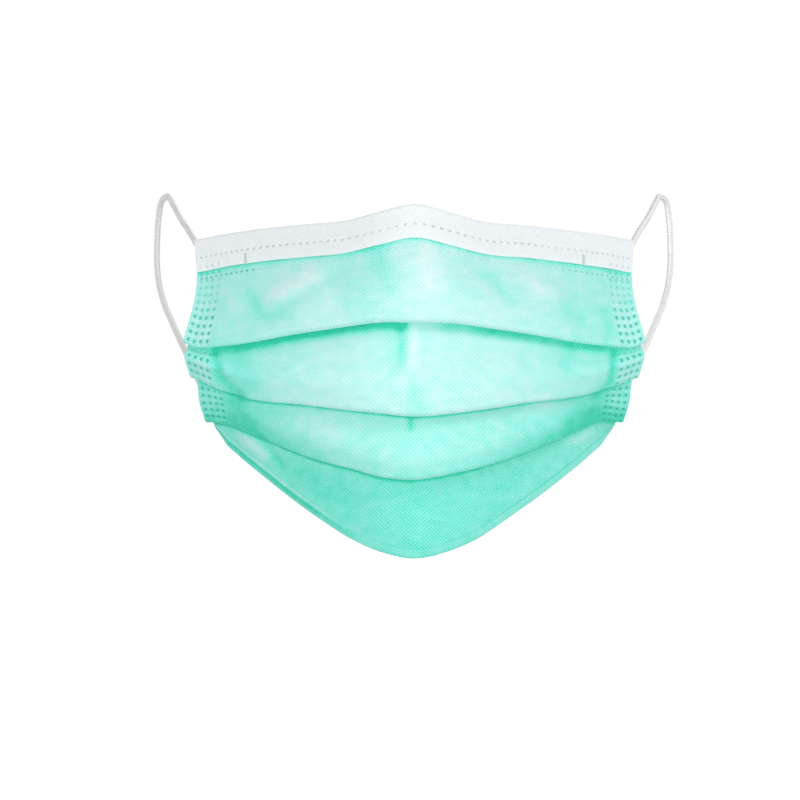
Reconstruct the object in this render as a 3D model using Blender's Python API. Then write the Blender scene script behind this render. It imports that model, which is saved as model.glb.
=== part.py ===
"""A pleated surgical face mask, in the shape that it has on a face.

The body is one laminated cloth with three pleats that open downwards and a hem that is turned
inwards below. Both sides are welded flat. A white binding closes the top edge, and an elastic
loop on each side runs from a flattened end at the top corner, round the ear, to one at the
lower corner. X runs across the face, Y from the front of the mask to the head, and Z up.
The origin is on the bridge of the nose, where the inner side of the binding rests.
"""

from collections import namedtuple

import bmesh
import bpy
import numpy as np

# Cloth
CLOTH_WALL = 0.0010
BINDING_WALL = 0.0010
LAYER_GAP = 0.0003
BINDING_DROP = 0.0098
SIDE_WELD_WIDTH = 0.0100
HEM_SHARE = 0.30

# The worn mask: height at the middle, half of its greatest width, and depth from front to side
MASK_HEIGHT = 0.1102
HALF_WIDTH = 0.0732
MASK_DEPTH = 0.0480

# Pleats: how far apart the layers lie, and how far they run flat on each other
OPEN_SPREAD = 0.0028
MIDDLE_OVERLAP = 0.0034
SIDE_OVERLAP = 0.0064

# Elastic ear loops and their flattened ends
LOOP_DIAMETER = 0.0022
LOOP_END_LENGTH = 0.0065
LOOP_END_HEIGHT = 0.0040
LOOP_END_WALL = 0.0010
LOOP_END_INSET = 0.0016
TOP_END_DROP = 0.0022
LOWER_END_DROP = 0.0010

# How finely the cloth is divided
WELD_STATIONS = 2
OPEN_STATIONS = 22
WALL_ROWS = 2
FREE_ROWS = 4
LAYER_ROWS = 2
FOLD_ROWS = 3
LOOP_END_STEPS = 2
CURVE_SAMPLES = 400

# Where the drops in the table of lines are taken, as shares of half a line's width
DROP_AT = (-1.0, -0.96, -0.9, -0.75, -0.5, -0.3, -0.15, 0.0, 0.15, 0.3, 0.5, 0.75, 0.9, 0.96, 1.0)

# The lines that cross the mask, from the top edge to the hem. The width is a share of
# HALF_WIDTH. Front and side say how far back the line lies at its middle and at its ends, as
# shares of MASK_DEPTH. Round says how wide its nose is, and flare how much the cloth leans
# outwards at its ends. The drops are shares of MASK_HEIGHT.
Line = namedtuple("Line", "name width front side round flare drops")
LINES = (
    Line("top_edge", 0.953, 0.00, 0.98, 0.22, -0.17,
         (0.090, 0.086, 0.079, 0.066, 0.053, 0.043, 0.020, 0.0,
          0.021, 0.046, 0.055, 0.070, 0.081, 0.087, 0.091)),
    Line("first_fold", 1.000, -0.40, 0.56, 0.34, 0.25,
         (0.380, 0.392, 0.393, 0.384, 0.356, 0.337, 0.326, 0.326,
          0.328, 0.339, 0.358, 0.384, 0.393, 0.392, 0.380)),
    Line("second_fold", 0.963, -0.38, 0.62, 0.48, 0.0,
         (0.480, 0.490, 0.508, 0.540, 0.559, 0.574, 0.584, 0.593,
          0.585, 0.573, 0.553, 0.532, 0.504, 0.489, 0.481)),
    Line("third_fold", 0.902, -0.26, 0.84, 0.50, 0.12,
         (0.608, 0.610, 0.615, 0.648, 0.707, 0.739, 0.763, 0.770,
          0.756, 0.736, 0.700, 0.640, 0.604, 0.608, 0.608)),
    Line("bottom_edge", 0.853, 0.06, 0.92, 0.50, 0.20,
         (0.636, 0.676, 0.708, 0.777, 0.881, 0.951, 0.985, 1.0,
          0.983, 0.949, 0.876, 0.775, 0.706, 0.674, 0.636)),
)

# The route of the left ear loop in metres, from the top corner round the ear to the lower one
LOOP_ROUTE = (
    (-0.0673, 0.0472, -0.0099),
    (-0.0692, 0.0506, -0.0066),
    (-0.0731, 0.0704, -0.0004),
    (-0.0768, 0.0904, 0.0047),
    (-0.0797, 0.1074, 0.0095),
    (-0.0819, 0.1159, 0.0124),
    (-0.0842, 0.1214, 0.0106),
    (-0.0851, 0.1236, 0.0057),
    (-0.0856, 0.1239, -0.0017),
    (-0.0856, 0.1219, -0.0090),
    (-0.0848, 0.1169, -0.0158),
    (-0.0828, 0.1064, -0.0226),
    (-0.0794, 0.0904, -0.0297),
    (-0.0755, 0.0724, -0.0371),
    (-0.0714, 0.0564, -0.0447),
    (-0.0668, 0.0460, -0.0541),
    (-0.0637, 0.0414, -0.0583),
)
LOOP_STEP = 0.0055

MINT = (0.262, 0.776, 0.665)
WHITE_CLOTH = (0.82, 0.87, 0.88)
WHITE_ELASTIC = (0.86, 0.86, 0.85)

BINDING_REACH = CLOTH_WALL / 2 + LAYER_GAP + BINDING_WALL / 2
TIGHT_SPREAD = CLOTH_WALL + LAYER_GAP
NOSE_SLOPE = -LINES[1].front * MASK_DEPTH / (LINES[1].drops[len(DROP_AT) // 2] * MASK_HEIGHT)
SEAT_DEPTH = (BINDING_REACH + BINDING_WALL / 2) * np.hypot(1.0, NOSE_SLOPE)
NOSE_TOP = np.array((0.0, BINDING_DROP / 2 * NOSE_SLOPE - SEAT_DEPTH, BINDING_DROP / 2))


def clear_scene():
    """Remove every object, so that the model starts from nothing."""
    for obj in list(bpy.data.objects):
        bpy.data.objects.remove(obj, do_unlink=True)


def material(name, colour, roughness):
    """Make a plain cloth or rubber material."""
    made = bpy.data.materials.new(name)
    made.use_nodes = True
    shader = made.node_tree.nodes["Principled BSDF"]
    shader.inputs["Base Color"].default_value = (*colour, 1.0)
    shader.inputs["Roughness"].default_value = roughness
    shader.inputs["Metallic"].default_value = 0.0
    return made


def unit(vectors):
    """Return the vectors at length one."""
    return vectors / np.linalg.norm(vectors, axis=-1, keepdims=True)


def smooth_through(places, values, at):
    """Read a smooth curve through the values, given at the places, at the places in `at`."""
    places = np.asarray(places)
    values = np.asarray(values)
    slopes = np.gradient(values, places)
    left = np.clip(np.searchsorted(places, at, side="right") - 1, 0, len(places) - 2)
    width = places[left + 1] - places[left]
    t = (at - places[left]) / width
    start = values[left] * (2 * t**3 - 3 * t**2 + 1) + slopes[left] * width * (t**3 - 2 * t**2 + t)
    end = values[left + 1] * (3 * t**2 - 2 * t**3) + slopes[left + 1] * width * (t**3 - t**2)
    return start + end


def line_points(line, stations):
    """Return the points of one line at the stations, even shares of its own length."""
    share = np.linspace(-1.0, 1.0, CURVE_SAMPLES + 1)
    rise = (np.hypot(share, line.round) - line.round) / (np.hypot(1.0, line.round) - line.round)
    points = np.stack((
        share * line.width * HALF_WIDTH,
        (line.front + (line.side - line.front) * rise) * MASK_DEPTH,
        -smooth_through(DROP_AT, line.drops, share) * MASK_HEIGHT,
    ), axis=1) + NOSE_TOP
    steps = np.linalg.norm(np.diff(points, axis=0), axis=1)
    length = np.concatenate(([0.0], np.cumsum(steps)))
    middle = length[CURVE_SAMPLES // 2]
    at = np.where(stations < 0, middle * (1 + stations), middle + (length[-1] - middle) * stations)
    return np.stack([np.interp(at, length, points[:, axis]) for axis in range(3)], axis=1)


def half_length(line):
    """Return half the length of a line, along the cloth."""
    points = line_points(line, np.linspace(-1.0, 1.0, CURVE_SAMPLES + 1))
    return np.linalg.norm(np.diff(points, axis=0), axis=1).sum() / 2


def run(start, start_way, end, end_way, shares):
    """Return a row of points for each share of a soft curve that keeps its ways at both ends."""
    reach = np.linalg.norm(end - start, axis=1, keepdims=True)
    rows = []
    for t in shares:
        rows.append(start * (2 * t**3 - 3 * t**2 + 1) + end * (3 * t**2 - 2 * t**3)
                    + reach * (start_way * (t**3 - 2 * t**2 + t) + end_way * (t**3 - t**2)))
    return rows


def straight(start, way, length, count):
    """Return rows of points along a straight stretch, without its first row."""
    return [start + way * length * (step / count) for step in range(1, count + 1)]


def turn(centre, out, way, radius, count):
    """Return rows round half a circle, from the side `out` past the side `way`, without its first."""
    angles = [np.pi * step / count for step in range(1, count + 1)]
    return [centre + radius * (out * np.cos(angle) + way * np.sin(angle)) for angle in angles]


class Body:
    """Middle surface of the cloth: rows of points down the mask, one point for each station."""

    def __init__(self, stations):
        self.stations = stations
        self.rows = []
        self.pockets = []
        self.lines = [line_points(line, stations) for line in LINES]
        self.across = [unit(np.gradient(points, axis=0)) for points in self.lines]
        self.down = []
        for index, line in enumerate(LINES):
            above = self.lines[max(index - 1, 0)]
            below = self.lines[min(index + 1, len(LINES) - 1)]
            lean = np.outer(line.flare * stations**3, (1.0, 0.0, 0.0))
            self.down.append(unit(unit(below - above) + lean))
        self.front = [unit(np.cross(way, side)) for way, side in zip(self.down, self.across)]
        weld = SIDE_WELD_WIDTH / half_length(LINES[0])
        open_share = np.clip(1.0 - np.abs(stations) / (1.0 - weld), 0.0, 1.0)[:, None]
        ease = np.sin(open_share * np.pi / 2)
        self.spread = TIGHT_SPREAD + (OPEN_SPREAD - TIGHT_SPREAD) * ease
        self.overlap = SIDE_OVERLAP + (MIDDLE_OVERLAP - SIDE_OVERLAP) * ease

    def add_top(self):
        """Run from the top edge down behind the binding."""
        self.top_run = (self.lines[0], self.down[0], *self.pleat_start(1))
        drop = self.top_run[0][:, 2:] - self.top_run[2][:, 2:]
        self.top_share = BINDING_DROP / drop
        shares = [self.top_share * step / WALL_ROWS for step in range(WALL_ROWS + 1)]
        shares += [self.top_share + (1 - self.top_share) * step / FREE_ROWS
                   for step in range(1, FREE_ROWS + 1)]
        self.rows += run(*self.top_run, shares)

    def pleat_centre(self, index):
        """Return the middle of a pleat's lower fold, whose outer edge lies on its line."""
        return self.lines[index] - self.down[index] * (self.spread + CLOTH_WALL) / 2

    def pleat_start(self, index):
        """Return where the panel above a pleat starts to lie flat on it, and its way there."""
        start = self.pleat_centre(index) + self.front[index] * self.spread / 2
        return start - self.down[index] * self.overlap, self.down[index]

    def add_pleat(self, index):
        """Run down over a pleat, back up behind it and down again behind that."""
        way = self.down[index]
        front = self.front[index]
        centre = self.pleat_centre(index)
        radius = self.spread / 2
        first = len(self.rows) - 1
        self.rows += straight(self.rows[-1], way, self.overlap, LAYER_ROWS)
        self.rows += turn(centre, front, way, radius, FOLD_ROWS)
        root = len(self.rows) - 1
        self.rows += straight(self.rows[-1], -way, self.overlap, LAYER_ROWS)
        self.pockets.append(("back", first, len(self.rows) - 1))
        upper = centre - way * self.overlap - front * 2 * radius
        self.rows += turn(upper, front, -way, radius, FOLD_ROWS)
        self.rows += straight(self.rows[-1], way, self.overlap, LAYER_ROWS)
        self.pockets.append(("front", root, len(self.rows) - 1))

    def add_panel(self, index):
        """Run from one pleat to the next."""
        end, end_way = self.pleat_start(index + 1)
        start_way = unit(self.lines[index + 1] - self.lines[index])
        shares = [step / FREE_ROWS for step in range(1, FREE_ROWS + 1)]
        self.rows += run(self.rows[-1], start_way, end, end_way, shares)

    def add_bottom(self):
        """Run from the last pleat to the bottom edge, and turn the hem up behind it."""
        start = self.rows[-1]
        way = self.down[-1]
        shares = [(1 - HEM_SHARE) * step / FREE_ROWS for step in range(1, FREE_ROWS + 1)]
        shares += [1 - HEM_SHARE * (1 - step / WALL_ROWS) for step in range(1, WALL_ROWS + 1)]
        end = self.lines[-1] - way * (TIGHT_SPREAD + CLOTH_WALL) / 2
        self.bottom_run = (start, unit(end - start), end, way)
        self.rows += run(*self.bottom_run, shares)
        front = self.front[-1]
        first = len(self.rows) - 1 - WALL_ROWS
        fold = self.rows[-1] - front * TIGHT_SPREAD / 2
        turned = turn(fold, front, way, TIGHT_SPREAD / 2, FOLD_ROWS)
        hem = [row - front * TIGHT_SPREAD for row in reversed(self.rows[first:-1])]
        self.rows += turned + hem
        self.pockets.append(("back", first, len(self.rows) - 1))

    def build(self):
        """Add every stretch of the cloth, from the top edge to the hem."""
        self.add_top()
        for index in range(1, len(LINES) - 2):
            self.add_pleat(index)
            self.add_panel(index)
        self.add_pleat(len(LINES) - 2)
        self.add_bottom()
        return self


def skins(rows, wall):
    """Return the front and back points of a cloth whose middle surface is given in rows."""
    middle = np.array(rows)
    down = unit(np.gradient(middle, axis=0))
    across = unit(np.gradient(middle, axis=1))
    out = unit(np.cross(down, across)) * wall / 2
    return middle + out, middle - out


def sheet_cells(row_count, station_count):
    """Return the cells of a cloth, each a list of four front and four back corners."""
    skin = row_count * station_count
    cells = []
    for row in range(row_count - 1):
        for station in range(station_count - 1):
            corner = row * station_count + station
            face = (corner, corner + 1, corner + station_count + 1, corner + station_count)
            cells.append((face, tuple(index + skin for index in face)))
    return cells


def weld_cells(pocket, row_count, station_count):
    """Return the cells that fill a pocket between two layers where the sides are welded."""
    side, low, high = pocket
    skin = 0 if side == "front" else row_count * station_count
    left = range(WELD_STATIONS)
    right = range(station_count - 1 - WELD_STATIONS, station_count - 1)
    cells = []
    for step in range((high - low) // 2):
        for station in (*left, *right):
            near = skin + (low + step) * station_count + station
            far = skin + (high - step) * station_count + station
            near_face = (near, near + 1, near + station_count + 1, near + station_count)
            far_face = (far, far + 1, far - station_count + 1, far - station_count)
            cells.append((near_face, far_face))
    return cells


def outer_faces(cells):
    """Return the faces that belong to one cell only, which are the skin of the whole solid."""
    found = {}
    for near, far in cells:
        faces = [near, far]
        for corner in range(4):
            following = (corner + 1) % 4
            faces.append((near[corner], near[following], far[following], far[corner]))
        for face in faces:
            key = frozenset(face)
            if key in found:
                del found[key]
            else:
                found[key] = face
    return list(found.values())


def solid(name, points, cells, look):
    """Make an object from the outer faces of its cells."""
    shape = bmesh.new()
    corners = [shape.verts.new(point) for point in points]
    for face in outer_faces(cells):
        shape.faces.new([corners[index] for index in face])
    loose = [vertex for vertex in shape.verts if not vertex.link_faces]
    bmesh.ops.delete(shape, geom=loose, context="VERTS")
    bmesh.ops.recalc_face_normals(shape, faces=shape.faces)
    mesh = bpy.data.meshes.new(name)
    shape.to_mesh(mesh)
    shape.free()
    mesh.materials.append(look)
    made = bpy.data.objects.new(name, mesh)
    bpy.context.scene.collection.objects.link(made)
    return made


def cloth_solid(name, rows, wall, look, pockets=()):
    """Make a closed cloth from the rows of its middle surface."""
    front, back = skins(rows, wall)
    row_count, station_count = front.shape[:2]
    cells = sheet_cells(row_count, station_count)
    for pocket in pockets:
        cells += weld_cells(pocket, row_count, station_count)
    points = np.concatenate((front.reshape(-1, 3), back.reshape(-1, 3)))
    return solid(name, points, cells, look)


def make_body(body, look):
    """Make the pleated laminate with its welded sides."""
    return cloth_solid("pleated_body", body.rows, CLOTH_WALL, look, body.pockets)


def make_binding(body, look):
    """Make the binding that is folded over the top edge, clear of the body."""
    shares = [body.top_share * step / WALL_ROWS for step in range(WALL_ROWS + 1)]
    leg = np.array(run(*body.top_run, shares))
    down = unit(np.gradient(leg, axis=0))
    across = unit(np.gradient(leg, axis=1))
    out = unit(np.cross(down, across)) * BINDING_REACH
    rows = [leg[index] + out[index] for index in range(WALL_ROWS, -1, -1)]
    rows += turn(leg[0], out[0] / BINDING_REACH, -down[0], BINDING_REACH, FOLD_ROWS)
    rows += [leg[index] - out[index] for index in range(1, WALL_ROWS + 1)]
    return cloth_solid("top_binding", rows, BINDING_WALL, look)


def loop_end_stations(side, line):
    """Return the stations over which a flattened loop end lies, left for -1 and right for 1."""
    outer = LOOP_END_INSET / half_length(line)
    inner = (LOOP_END_INSET + LOOP_END_LENGTH) / half_length(line)
    return np.sort(side * (1.0 - np.linspace(outer, inner, LOOP_END_STEPS + 1)))


def make_loop_end(name, surface, depth, look):
    """Make a flattened loop end that lies behind the cloth, `depth` behind its middle surface."""
    down = unit(np.gradient(surface, axis=0))
    across = unit(np.gradient(surface, axis=1))
    rows = surface - unit(np.cross(down, across)) * depth
    return cloth_solid(name, list(rows), LOOP_END_WALL, look)


def top_end_surface(side):
    """Return the cloth's middle surface under the upper loop end of one side."""
    body = Body(loop_end_stations(side, LINES[0]))
    body.add_top()
    reach = np.linalg.norm(body.top_run[2] - body.top_run[0], axis=1, keepdims=True)
    steps = range(LOOP_END_STEPS + 1)
    shares = [(TOP_END_DROP + LOOP_END_HEIGHT * step / LOOP_END_STEPS) / reach for step in steps]
    return np.array(run(*body.top_run, shares))


def lower_end_surface(side):
    """Return the cloth's middle surface under the lower loop end of one side."""
    body = Body(loop_end_stations(side, LINES[-1]))
    body.build()
    way = body.down[-2]
    start = body.bottom_run[0] - way * (LOOP_END_HEIGHT - LOWER_END_DROP)
    return np.array([start, *straight(start, way, LOOP_END_HEIGHT, LOOP_END_STEPS)])


def make_loop_ends(look):
    """Make the four flattened ends of the ear loops, inside the corners."""
    top_depth = BINDING_REACH + (BINDING_WALL + LOOP_END_WALL) / 2 + LAYER_GAP
    lower_depth = (CLOTH_WALL + LOOP_END_WALL) / 2 + LAYER_GAP
    for name, side in (("left", -1), ("right", 1)):
        make_loop_end(f"loop_end_{name}_top", top_end_surface(side), top_depth, look)
        make_loop_end(f"loop_end_{name}_lower", lower_end_surface(side), lower_depth, look)


def loop_points(route):
    """Return even points along a smooth curve through the route."""
    route = np.array(route)
    at = np.concatenate(([0.0], np.cumsum(np.linalg.norm(np.diff(route, axis=0), axis=1))))
    fine = np.linspace(0.0, at[-1], CURVE_SAMPLES + 1)
    curve = np.stack([smooth_through(at, route[:, axis], fine) for axis in range(3)], axis=1)
    length = np.concatenate(([0.0], np.cumsum(np.linalg.norm(np.diff(curve, axis=0), axis=1))))
    even = np.linspace(0.0, length[-1], round(length[-1] / LOOP_STEP) + 1)
    return np.stack([np.interp(even, length, curve[:, axis]) for axis in range(3)], axis=1)


def make_ear_loop(name, side, look):
    """Make the elastic cord of one ear loop."""
    curve = bpy.data.curves.new(name, "CURVE")
    curve.dimensions = "3D"
    curve.bevel_depth = LOOP_DIAMETER / 2
    curve.bevel_resolution = 2
    curve.use_fill_caps = True
    points = loop_points(LOOP_ROUTE) * np.array((-side, 1.0, 1.0))
    spline = curve.splines.new("POLY")
    spline.points.add(len(points) - 1)
    for target, point in zip(spline.points, points):
        target.co = (*point, 1.0)
    curve.materials.append(look)
    made = bpy.data.objects.new(name, curve)
    bpy.context.scene.collection.objects.link(made)
    return made


def stations_across():
    """Return the stations across the cloth: a few in each side weld and more between them."""
    weld = SIDE_WELD_WIDTH / half_length(LINES[0])
    left = np.linspace(-1.0, weld - 1.0, WELD_STATIONS + 1)
    middle = np.linspace(weld - 1.0, 1.0 - weld, OPEN_STATIONS + 1)
    return np.concatenate((left[:-1], middle, -left[-2::-1]))


def main():
    """Build the mask."""
    clear_scene()
    mint = material("mint_nonwoven", MINT, 0.9)
    white = material("white_nonwoven", WHITE_CLOTH, 0.9)
    elastic = material("white_elastic", WHITE_ELASTIC, 0.8)
    body = Body(stations_across()).build()
    make_body(body, mint)
    make_binding(body, white)
    make_loop_ends(elastic)
    make_ear_loop("ear_loop_left", -1, elastic)
    make_ear_loop("ear_loop_right", 1, elastic)


main()
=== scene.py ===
# %% [markdown]
# # A pleated surgical face mask, in the shape that it has on a face
#
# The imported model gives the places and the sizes. This lesson dresses it: an outer and an inner
# ply of nonwoven cloth with three pleats, a white binding along the top edge, and two elastic
# ear loops whose ends are pressed flat behind the corners. X runs across the face, Y from the
# front of the mask to the head, and Z up.

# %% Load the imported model
from collections import namedtuple
from functools import reduce

import bpy
import numpy as np
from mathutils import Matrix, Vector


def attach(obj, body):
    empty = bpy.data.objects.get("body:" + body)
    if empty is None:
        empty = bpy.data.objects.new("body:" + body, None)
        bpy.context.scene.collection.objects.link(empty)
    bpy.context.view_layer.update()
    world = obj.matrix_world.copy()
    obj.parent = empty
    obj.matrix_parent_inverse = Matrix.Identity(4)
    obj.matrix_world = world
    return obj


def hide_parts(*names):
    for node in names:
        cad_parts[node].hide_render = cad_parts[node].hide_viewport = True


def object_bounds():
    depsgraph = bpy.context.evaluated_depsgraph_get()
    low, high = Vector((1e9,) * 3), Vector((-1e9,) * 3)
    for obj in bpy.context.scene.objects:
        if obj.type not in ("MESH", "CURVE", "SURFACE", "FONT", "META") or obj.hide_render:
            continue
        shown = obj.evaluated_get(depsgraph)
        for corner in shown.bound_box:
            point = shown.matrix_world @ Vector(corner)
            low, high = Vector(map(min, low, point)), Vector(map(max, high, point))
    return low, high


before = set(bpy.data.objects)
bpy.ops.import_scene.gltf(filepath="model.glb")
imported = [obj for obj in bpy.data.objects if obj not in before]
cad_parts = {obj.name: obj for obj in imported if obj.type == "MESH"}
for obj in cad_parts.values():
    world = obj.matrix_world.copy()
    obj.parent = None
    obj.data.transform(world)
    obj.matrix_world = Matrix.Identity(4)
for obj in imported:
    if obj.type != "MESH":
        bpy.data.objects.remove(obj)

cad_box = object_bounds()
print("nodes:", ", ".join(sorted(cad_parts)))
print("CAD box in mm:", [[round(1000 * x, 1) for x in corner] for corner in cad_box])

# %% [markdown]
# ## The camera
#
# The mask is seen straight from the front. A long lens from two metres away keeps the near and
# the far parts of it at nearly one scale, as a product photograph does. The camera stands level
# with the middle of the cloth, so no tilt is needed.

# %% Camera
PHOTO_SIDE = 800
PHOTO_SCALE = 3160.0
PHOTO_MIDDLE = (-0.0046, -0.0552)
SCALE_PLANE = 0.015
CAMERA_DISTANCE = 2.0
SENSOR = 36.0
lens = bpy.data.cameras.new("mask_camera")
lens.sensor_width = SENSOR
lens.lens = PHOTO_SCALE * CAMERA_DISTANCE * SENSOR / PHOTO_SIDE
lens.clip_start = 0.1
lens.clip_end = 60.0
camera = bpy.data.objects.new("mask_camera", lens)
camera.location = (PHOTO_MIDDLE[0], SCALE_PLANE - CAMERA_DISTANCE, PHOTO_MIDDLE[1])
camera.rotation_euler = (np.pi / 2, 0.0, 0.0)
bpy.context.scene.collection.objects.link(camera)
bpy.context.scene.camera = camera
print(f"lens {lens.lens:.1f} mm at {CAMERA_DISTANCE} m")

# %% [markdown]
# ## Smooth curves
#
# Each edge and fold of the mask is known at a few places only. A smooth curve through those
# places can be drawn with Blender's own curves, but here the points are needed as numbers, so a
# short cubic formula does it. It is the same one that the solid model uses.

# %% Smooth curves
def unit(vectors):
    """Return the vectors at length one."""
    return vectors / np.linalg.norm(vectors, axis=-1, keepdims=True)


def smooth_through(places, values, at):
    """Read a smooth curve through the values, given at the places, at the places in `at`."""
    places = np.asarray(places)
    values = np.asarray(values)
    slopes = np.gradient(values, places)
    left = np.clip(np.searchsorted(places, at, side="right") - 1, 0, len(places) - 2)
    width = places[left + 1] - places[left]
    t = (at - places[left]) / width
    start = values[left] * (2 * t**3 - 3 * t**2 + 1) + slopes[left] * width * (t**3 - 2 * t**2 + t)
    end = values[left + 1] * (3 * t**2 - 2 * t**3) + slopes[left + 1] * width * (t**3 - t**2)
    return start + end


def distance_along(points):
    """Return how far along a line of points each of them lies."""
    return np.concatenate(([0.0], np.cumsum(np.linalg.norm(np.diff(points, axis=0), axis=1))))


# %% [markdown]
# ## A mesh from rows of points
#
# Cloth, binding and cord all come from rows of points. A row may close on itself, as round a
# cord, or stay open, as across a cloth. Building the faces from row numbers keeps the mesh even,
# with quads only, and each point can carry values that the materials read later.

# %% Meshes from rows
def per_point(*numbers):
    """Put numbers together as one place for each point."""
    return np.stack(np.broadcast_arrays(*numbers), axis=-1)


def facing_of(surface):
    """Return which way each point of a surface faces. Its rows follow each other down."""
    return unit(np.cross(unit(np.gradient(surface, axis=0)), unit(np.gradient(surface, axis=1))))


def grid_faces(rows, columns, closed=False):
    """Return the quads between neighbouring rows of points."""
    first, second = np.meshgrid(np.arange(rows - 1), np.arange(columns if closed else columns - 1),
                                indexing="ij")
    following = (second + 1) % columns
    corners = (first * columns + second, (first + 1) * columns + second,
               (first + 1) * columns + following, first * columns + following)
    return np.stack(corners, axis=-1).reshape(-1, 4)


def mesh_piece(name, points, faces, look, values=None, crease_angle=0.9):
    """Make an object from points and quads, with values per point for its material."""
    mesh = bpy.data.meshes.new(name)
    mesh.from_pydata(points.tolist(), [], faces.tolist())
    for key, value in (values or {}).items():
        kind, field = (("FLOAT", "value") if value.ndim == 1 else ("FLOAT_VECTOR", "vector"))
        mesh.attributes.new(key, kind, "POINT").data.foreach_set(
            field, value.astype(np.float32).ravel())
    mesh.materials.append(look)
    mesh.shade_smooth()
    mesh.set_sharp_from_angle(angle=crease_angle)
    made = bpy.data.objects.new(name, mesh)
    bpy.context.scene.collection.objects.link(made)
    print(f"{name}: {len(points)} points, {2 * len(faces)} triangles")
    return made

# %% [markdown]
# ## Material recipes
#
# A material is a tree of nodes. A small helper adds a node, sets its fixed numbers on its own
# sockets and links the rest, so that each recipe below reads like a list of steps.

# %% Material recipes
class Recipe:
    """The node tree of one material, built a step at a time."""

    def __init__(self, name, roughness, sheen=0.0):
        self.look = bpy.data.materials.new(name)
        self.look.use_nodes = True
        self.tree = self.look.node_tree
        self.shader = self.tree.nodes["Principled BSDF"]
        self.shader.inputs["Roughness"].default_value = roughness
        self.shader.inputs["Sheen Weight"].default_value = sheen

    def step(self, kind, inputs, output=0, **settings):
        """Add a node with its settings and inputs, and return one of its results."""
        node = self.tree.nodes.new("ShaderNode" + kind)
        for key, value in settings.items():
            setattr(node, key, value)
        for key, value in inputs.items():
            if isinstance(value, bpy.types.NodeSocket):
                self.tree.links.new(value, node.inputs[key])
            else:
                node.inputs[key].default_value = value
        return node.outputs[output]

    def math(self, operation, *values):
        """Work out one sum."""
        return self.step("Math", dict(enumerate(values)), operation=operation)

    def add(self, *values):
        """Add numbers up."""
        return reduce(lambda total, value: self.math("ADD", total, value), values)

    def times(self, *values):
        """Multiply numbers."""
        return reduce(lambda total, value: self.math("MULTIPLY", total, value), values)

    def less(self, first, second):
        """Take the second number from the first."""
        return self.math("SUBTRACT", first, second)

    def value(self, name):
        """Read a number that the mesh carries at each point."""
        return self.step("Attribute", {}, "Fac", attribute_name=name)

    def place(self, name):
        """Read a place that the mesh carries at each point."""
        return self.step("Attribute", {}, "Vector", attribute_name=name)

    def parts(self, name):
        """Read such a place and take it apart into its three numbers."""
        return self.step("SeparateXYZ", {0: self.place(name)}, slice(None))

    def noise(self, vector, scale, detail=2.0, rough=0.5):
        """Make soft noise."""
        return self.step("TexNoise", {"Vector": vector, "Scale": scale, "Detail": detail,
                                      "Roughness": rough})

    def streaks(self, name, stretch, scale, rough, turn=0.0):
        """Make noise on a place of the mesh that is stretched, and turned."""
        place = self.step("Mapping", {"Vector": self.place(name), "Rotation": (0.0, 0.0, turn),
                                      "Scale": stretch})
        return self.noise(place, scale, 3.0, rough)

    def between(self, value, low, high, start=0.0, end=1.0):
        """Ease a number from start to end as it passes from low to high."""
        return self.step("MapRange", {"Value": value, "From Min": low, "From Max": high,
                                      "To Min": start, "To Max": end},
                         interpolation_type="SMOOTHSTEP")

    def ramp(self, value, stops):
        """Turn a number into a colour along the stops."""
        colour = self.step("ValToRGB", {0: value})
        marks = colour.node.color_ramp.elements
        while len(marks) < len(stops):
            marks.new(0.5)
        for mark, (at, shade) in zip(marks, stops):
            mark.position = at
            mark.color = (*shade, 1.0)
        return colour

    def blend(self, share, colour, other):
        """Mix a share of a fixed colour into another."""
        return self.step("Mix", {"Factor": share, 6: colour, 7: (*other, 1.0)}, 2,
                         data_type="RGBA")

    def relief(self, height, depth):
        """Raise the surface by a height between 0 and 1, at most `depth` metres."""
        normal = self.step("Bump", {"Height": height, "Distance": depth, "Strength": 1.0})
        self.tree.links.new(normal, self.shader.inputs["Normal"])

    def finish(self, colour):
        """Give the shader its colour and return the material."""
        self.tree.links.new(colour, self.shader.inputs["Base Color"])
        return self.look

# %% [markdown]
# ## The ear loops
#
# Each loop is a round knitted elastic, about two millimetres thick, that runs from the top
# corner round the ear to the lower corner. Its route is taken from the solid model. A curve with
# a bevel would give a plain tube. A mesh tube is used here, because the section can be made
# slightly flat and can carry the small ribs of the knitting.

# %% Route of the ear loops
LOOP_ROUTE = (
    (-0.0673, 0.0472, -0.0099), (-0.0692, 0.0506, -0.0066), (-0.0731, 0.0704, -0.0004),
    (-0.0768, 0.0904, 0.0047), (-0.0797, 0.1074, 0.0095), (-0.0819, 0.1159, 0.0124),
    (-0.0842, 0.1214, 0.0106), (-0.0851, 0.1236, 0.0057), (-0.0856, 0.1239, -0.0017),
    (-0.0856, 0.1219, -0.0090), (-0.0848, 0.1169, -0.0158), (-0.0828, 0.1064, -0.0226),
    (-0.0794, 0.0904, -0.0297), (-0.0755, 0.0724, -0.0371), (-0.0714, 0.0564, -0.0447),
    (-0.0668, 0.0460, -0.0541), (-0.0637, 0.0414, -0.0583),
)
LOOP_RING_STEP = 0.0005


def loop_route(side):
    """Return even, closely spaced points along one loop, left for -1 and right for 1."""
    route = np.array(LOOP_ROUTE) * np.array((-side, 1.0, 1.0))
    at = distance_along(route)
    fine = np.linspace(0.0, at[-1], 2000)
    curve = np.stack([smooth_through(at, route[:, axis], fine) for axis in range(3)], axis=1)
    length = distance_along(curve)
    even = np.linspace(0.0, length[-1], round(length[-1] / LOOP_RING_STEP) + 1)
    return np.stack([np.interp(even, length, curve[:, axis]) for axis in range(3)], axis=1)


print(f"loop length {1000 * distance_along(loop_route(-1))[-1]:.1f} mm")

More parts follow.
